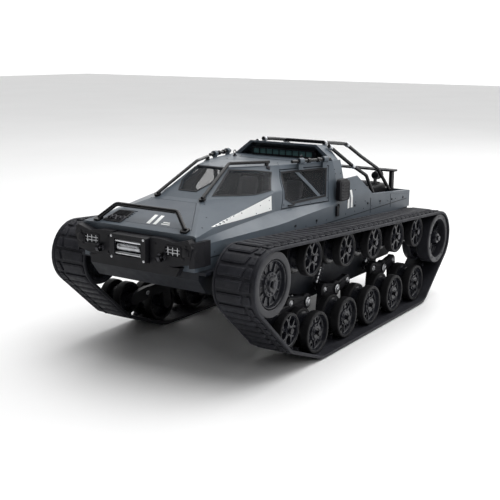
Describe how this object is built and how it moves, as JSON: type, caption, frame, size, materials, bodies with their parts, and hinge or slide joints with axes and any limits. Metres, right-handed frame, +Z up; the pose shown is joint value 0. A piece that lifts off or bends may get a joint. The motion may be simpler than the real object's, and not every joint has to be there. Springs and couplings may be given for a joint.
{
  "type": "tracked tank chassis",
  "caption": "Small-scale tracked vehicle with rubber belts, sprung bogies and road wheels, coupled drive drums, faceted body with gull-wing doors, bumper, winch and roll cage.",
  "frame": {"origin": "centre of the footprint at ground level", "axes": "+X is the vehicle's left side, +Y points to the rear, +Z is up; the vehicle faces -Y"},
  "size_m": [0.226, 0.4367, 0.186],
  "materials": {
    "body_paint": "satin slate grey paint on moulded plastic",
    "black_plastic": "fine-grain black moulded plastic",
    "hull_plastic": "matt dark plastic",
    "wheel_plastic": "semi-gloss dark plastic",
    "track_rubber": "matt charcoal rubber",
    "tube_black": "semi-gloss black paint on steel wire",
    "clear_glass": "clear moulded glazing",
    "tinted_lens": "dark teal lens",
    "lamp_lens": "clear ribbed lens",
    "interior_plastic": "matt dark plastic",
    "steel": "bright turned steel",
    "steel_dark": "blackened steel",
    "shock_metal": "satin aluminium with a dark spring",
    "battery_wrap": "dark blue heat-shrink wrap",
    "circuit_board": "green board with black parts",
    "motor_metal": "satin metal can"
  },
  "bodies": {
    "chassis": {"lower_hull": "hull_plastic", "axle_pins": "steel", "shock_absorbers": "shock_metal", "body_shell": "body_paint", "hood_panel": "body_paint", "windscreen": "clear_glass", "cab_interior": "interior_plastic", "front_bumper": "black_plastic", "winch": "black_plastic", "headlight_lenses": "lamp_lens", "bull_bar": "tube_black", "roll_cage": "tube_black", "light_bar": "black_plastic", "light_bar_lens": "tinted_lens", "rear_rack": "black_plastic", "engine_cover": "black_plastic", "air_pods": "black_plastic", "tow_shackles": "steel_dark", "battery_pack": "battery_wrap", "control_board": "circuit_board", "drive_gearmotors": "motor_metal", "body_screws": "steel_dark", "track_belt_left": "track_rubber", "track_belt_right": "track_rubber"},
    "front_arm_left": {"front_arm_left": "black_plastic"},
    "front_bogie_left": {"front_bogie_left": "black_plastic"},
    "rear_bogie_left": {"rear_bogie_left": "black_plastic"},
    "drive_drum_left": {"drive_drum_left": "wheel_plastic"},
    "idler_drum_left": {"idler_drum_left": "wheel_plastic"},
    "tension_wheel_left": {"tension_wheel_left": "wheel_plastic"},
    "road_wheel_1_left": {"road_wheel_1_left": "wheel_plastic"},
    "road_wheel_2_left": {"road_wheel_2_left": "wheel_plastic"},
    "road_wheel_3_left": {"road_wheel_3_left": "wheel_plastic"},
    "road_wheel_4_left": {"road_wheel_4_left": "wheel_plastic"},
    "road_wheel_5_left": {"road_wheel_5_left": "wheel_plastic"},
    "return_roller_1_left": {"return_roller_1_left": "wheel_plastic"},
    "return_roller_2_left": {"return_roller_2_left": "wheel_plastic"},
    "return_roller_3_left": {"return_roller_3_left": "wheel_plastic"},
    "return_roller_4_left": {"return_roller_4_left": "wheel_plastic"},
    "return_roller_5_left": {"return_roller_5_left": "wheel_plastic"},
    "door_left": {"door_left": "body_paint", "door_glass_left": "clear_glass"},
    "front_arm_right": {"front_arm_right": "black_plastic"},
    "front_bogie_right": {"front_bogie_right": "black_plastic"},
    "rear_bogie_right": {"rear_bogie_right": "black_plastic"},
    "drive_drum_right": {"drive_drum_right": "wheel_plastic"},
    "idler_drum_right": {"idler_drum_right": "wheel_plastic"},
    "tension_wheel_right": {"tension_wheel_right": "wheel_plastic"},
    "road_wheel_1_right": {"road_wheel_1_right": "wheel_plastic"},
    "road_wheel_2_right": {"road_wheel_2_right": "wheel_plastic"},
    "road_wheel_3_right": {"road_wheel_3_right": "wheel_plastic"},
    "road_wheel_4_right": {"road_wheel_4_right": "wheel_plastic"},
    "road_wheel_5_right": {"road_wheel_5_right": "wheel_plastic"},
    "return_roller_1_right": {"return_roller_1_right": "wheel_plastic"},
    "return_roller_2_right": {"return_roller_2_right": "wheel_plastic"},
    "return_roller_3_right": {"return_roller_3_right": "wheel_plastic"},
    "return_roller_4_right": {"return_roller_4_right": "wheel_plastic"},
    "return_roller_5_right": {"return_roller_5_right": "wheel_plastic"},
    "door_right": {"door_right": "body_paint", "door_glass_right": "clear_glass"}
  },
  "joints": [
    {"name": "front_arm_left_rock", "type": "hinge", "parent": "chassis", "child": "front_arm_left", "pos_m": [0.07475, -0.05, 0.043], "axis": [1, 0, 0], "range_deg": [-3, 3], "stiffness_Nm_per_rad": 3, "deforming": ["track_belt_left", "shock_absorbers"]},
    {"name": "front_bogie_left_rock", "type": "hinge", "parent": "chassis", "child": "front_bogie_left", "pos_m": [0.07475, 0.00835, 0.043], "axis": [1, 0, 0], "range_deg": [-3, 3], "stiffness_Nm_per_rad": 3, "deforming": ["track_belt_left", "shock_absorbers"]},
    {"name": "rear_bogie_left_rock", "type": "hinge", "parent": "chassis", "child": "rear_bogie_left", "pos_m": [0.07475, 0.1167, 0.043], "axis": [1, 0, 0], "range_deg": [-3, 3], "stiffness_Nm_per_rad": 3, "deforming": ["track_belt_left", "shock_absorbers"]},
    {"name": "drive_drum_left_spin", "type": "hinge", "parent": "chassis", "child": "drive_drum_left", "pos_m": [0.092, -0.164, 0.0893], "axis": [1, 0, 0], "continuous": true},
    {"name": "idler_drum_left_spin", "type": "hinge", "parent": "chassis", "child": "idler_drum_left", "pos_m": [0.092, 0.1866, 0.0682], "axis": [1, 0, 0], "continuous": true},
    {"name": "tension_wheel_left_spin", "type": "hinge", "parent": "front_arm_left", "child": "tension_wheel_left", "pos_m": [0.092, -0.1256, 0.0385], "axis": [1, 0, 0], "continuous": true},
    {"name": "road_wheel_1_left_spin", "type": "hinge", "parent": "front_arm_left", "child": "road_wheel_1_left", "pos_m": [0.092, -0.0757, 0.0237], "axis": [1, 0, 0], "continuous": true},
    {"name": "road_wheel_2_left_spin", "type": "hinge", "parent": "front_bogie_left", "child": "road_wheel_2_left", "pos_m": [0.092, -0.0179, 0.0237], "axis": [1, 0, 0], "continuous": true},
    {"name": "road_wheel_3_left_spin", "type": "hinge", "parent": "front_bogie_left", "child": "road_wheel_3_left", "pos_m": [0.092, 0.0346, 0.0237], "axis": [1, 0, 0], "continuous": true},
    {"name": "road_wheel_4_left_spin", "type": "hinge", "parent": "rear_bogie_left", "child": "road_wheel_4_left", "pos_m": [0.092, 0.0893, 0.0237], "axis": [1, 0, 0], "continuous": true},
    {"name": "road_wheel_5_left_spin", "type": "hinge", "parent": "rear_bogie_left", "child": "road_wheel_5_left", "pos_m": [0.092, 0.1441, 0.0237], "axis": [1, 0, 0], "continuous": true},
    {"name": "return_roller_1_left_spin", "type": "hinge", "parent": "chassis", "child": "return_roller_1_left", "pos_m": [0.092, -0.0874, 0.09614], "axis": [1, 0, 0], "continuous": true},
    {"name": "return_roller_2_left_spin", "type": "hinge", "parent": "chassis", "child": "return_roller_2_left", "pos_m": [0.092, -0.0222, 0.09222], "axis": [1, 0, 0], "continuous": true},
    {"name": "return_roller_3_left_spin", "type": "hinge", "parent": "chassis", "child": "return_roller_3_left", "pos_m": [0.092, 0.0364, 0.08869], "axis": [1, 0, 0], "continuous": true},
    {"name": "return_roller_4_left_spin", "type": "hinge", "parent": "chassis", "child": "return_roller_4_left", "pos_m": [0.092, 0.0898, 0.08548], "axis": [1, 0, 0], "continuous": true},
    {"name": "return_roller_5_left_spin", "type": "hinge", "parent": "chassis", "child": "return_roller_5_left", "pos_m": [0.092, 0.1407, 0.08241], "axis": [1, 0, 0], "continuous": true},
    {"name": "door_left_hinge", "type": "hinge", "parent": "chassis", "child": "door_left", "pos_m": [0.0493, -0.03, 0.1728], "axis": [-0.2303, -0.9728, 0.0238], "range_deg": [0, 75]},
    {"name": "front_arm_right_rock", "type": "hinge", "parent": "chassis", "child": "front_arm_right", "pos_m": [-0.07475, -0.05, 0.043], "axis": [1, 0, 0], "range_deg": [-3, 3], "stiffness_Nm_per_rad": 3, "deforming": ["track_belt_right", "shock_absorbers"]},
    {"name": "front_bogie_right_rock", "type": "hinge", "parent": "chassis", "child": "front_bogie_right", "pos_m": [-0.07475, 0.00835, 0.043], "axis": [1, 0, 0], "range_deg": [-3, 3], "stiffness_Nm_per_rad": 3, "deforming": ["track_belt_right", "shock_absorbers"]},
    {"name": "rear_bogie_right_rock", "type": "hinge", "parent": "chassis", "child": "rear_bogie_right", "pos_m": [-0.07475, 0.1167, 0.043], "axis": [1, 0, 0], "range_deg": [-3, 3], "stiffness_Nm_per_rad": 3, "deforming": ["track_belt_right", "shock_absorbers"]},
    {"name": "drive_drum_right_spin", "type": "hinge", "parent": "chassis", "child": "drive_drum_right", "pos_m": [-0.092, -0.164, 0.0893], "axis": [1, 0, 0], "continuous": true},
    {"name": "idler_drum_right_spin", "type": "hinge", "parent": "chassis", "child": "idler_drum_right", "pos_m": [-0.092, 0.1866, 0.0682], "axis": [1, 0, 0], "continuous": true},
    {"name": "tension_wheel_right_spin", "type": "hinge", "parent": "front_arm_right", "child": "tension_wheel_right", "pos_m": [-0.092, -0.1256, 0.0385], "axis": [1, 0, 0], "continuous": true},
    {"name": "road_wheel_1_right_spin", "type": "hinge", "parent": "front_arm_right", "child": "road_wheel_1_right", "pos_m": [-0.092, -0.0757, 0.0237], "axis": [1, 0, 0], "continuous": true},
    {"name": "road_wheel_2_right_spin", "type": "hinge", "parent": "front_bogie_right", "child": "road_wheel_2_right", "pos_m": [-0.092, -0.0179, 0.0237], "axis": [1, 0, 0], "continuous": true},
    {"name": "road_wheel_3_right_spin", "type": "hinge", "parent": "front_bogie_right", "child": "road_wheel_3_right", "pos_m": [-0.092, 0.0346, 0.0237], "axis": [1, 0, 0], "continuous": true},
    {"name": "road_wheel_4_right_spin", "type": "hinge", "parent": "rear_bogie_right", "child": "road_wheel_4_right", "pos_m": [-0.092, 0.0893, 0.0237], "axis": [1, 0, 0], "continuous": true},
    {"name": "road_wheel_5_right_spin", "type": "hinge", "parent": "rear_bogie_right", "child": "road_wheel_5_right", "pos_m": [-0.092, 0.1441, 0.0237], "axis": [1, 0, 0], "continuous": true},
    {"name": "return_roller_1_right_spin", "type": "hinge", "parent": "chassis", "child": "return_roller_1_right", "pos_m": [-0.092, -0.0874, 0.09614], "axis": [1, 0, 0], "continuous": true},
    {"name": "return_roller_2_right_spin", "type": "hinge", "parent": "chassis", "child": "return_roller_2_right", "pos_m": [-0.092, -0.0222, 0.09222], "axis": [1, 0, 0], "continuous": true},
    {"name": "return_roller_3_right_spin", "type": "hinge", "parent": "chassis", "child": "return_roller_3_right", "pos_m": [-0.092, 0.0364, 0.08869], "axis": [1, 0, 0], "continuous": true},
    {"name": "return_roller_4_right_spin", "type": "hinge", "parent": "chassis", "child": "return_roller_4_right", "pos_m": [-0.092, 0.0898, 0.08548], "axis": [1, 0, 0], "continuous": true},
    {"name": "return_roller_5_right_spin", "type": "hinge", "parent": "chassis", "child": "return_roller_5_right", "pos_m": [-0.092, 0.1407, 0.08241], "axis": [1, 0, 0], "continuous": true},
    {"name": "door_right_hinge", "type": "hinge", "parent": "chassis", "child": "door_right", "pos_m": [-0.0493, -0.03, 0.1728], "axis": [-0.2303, 0.9728, -0.0238], "range_deg": [0, 75]}
  ],
  "couplings": [
    {"joint": "idler_drum_left_spin", "follows": "drive_drum_left_spin", "ratio": 1},
    {"joint": "tension_wheel_left_spin", "follows": "drive_drum_left_spin", "ratio": 1.75},
    {"joint": "road_wheel_1_left_spin", "follows": "drive_drum_left_spin", "ratio": 1.4},
    {"joint": "road_wheel_2_left_spin", "follows": "drive_drum_left_spin", "ratio": 1.4},
    {"joint": "road_wheel_3_left_spin", "follows": "drive_drum_left_spin", "ratio": 1.4},
    {"joint": "road_wheel_4_left_spin", "follows": "drive_drum_left_spin", "ratio": 1.4},
    {"joint": "road_wheel_5_left_spin", "follows": "drive_drum_left_spin", "ratio": 1.4},
    {"joint": "return_roller_1_left_spin", "follows": "drive_drum_left_spin", "ratio": 1.6867},
    {"joint": "return_roller_2_left_spin", "follows": "drive_drum_left_spin", "ratio": 1.6867},
    {"joint": "return_roller_3_left_spin", "follows": "drive_drum_left_spin", "ratio": 1.6867},
    {"joint": "return_roller_4_left_spin", "follows": "drive_drum_left_spin", "ratio": 1.6867},
    {"joint": "return_roller_5_left_spin", "follows": "drive_drum_left_spin", "ratio": 1.6867},
    {"joint": "idler_drum_right_spin", "follows": "drive_drum_right_spin", "ratio": 1},
    {"joint": "tension_wheel_right_spin", "follows": "drive_drum_right_spin", "ratio": 1.75},
    {"joint": "road_wheel_1_right_spin", "follows": "drive_drum_right_spin", "ratio": 1.4},
    {"joint": "road_wheel_2_right_spin", "follows": "drive_drum_right_spin", "ratio": 1.4},
    {"joint": "road_wheel_3_right_spin", "follows": "drive_drum_right_spin", "ratio": 1.4},
    {"joint": "road_wheel_4_right_spin", "follows": "drive_drum_right_spin", "ratio": 1.4},
    {"joint": "road_wheel_5_right_spin", "follows": "drive_drum_right_spin", "ratio": 1.4},
    {"joint": "return_roller_1_right_spin", "follows": "drive_drum_right_spin", "ratio": 1.6867},
    {"joint": "return_roller_2_right_spin", "follows": "drive_drum_right_spin", "ratio": 1.6867},
    {"joint": "return_roller_3_right_spin", "follows": "drive_drum_right_spin", "ratio": 1.6867},
    {"joint": "return_roller_4_right_spin", "follows": "drive_drum_right_spin", "ratio": 1.6867},
    {"joint": "return_roller_5_right_spin", "follows": "drive_drum_right_spin", "ratio": 1.6867}
  ]
}
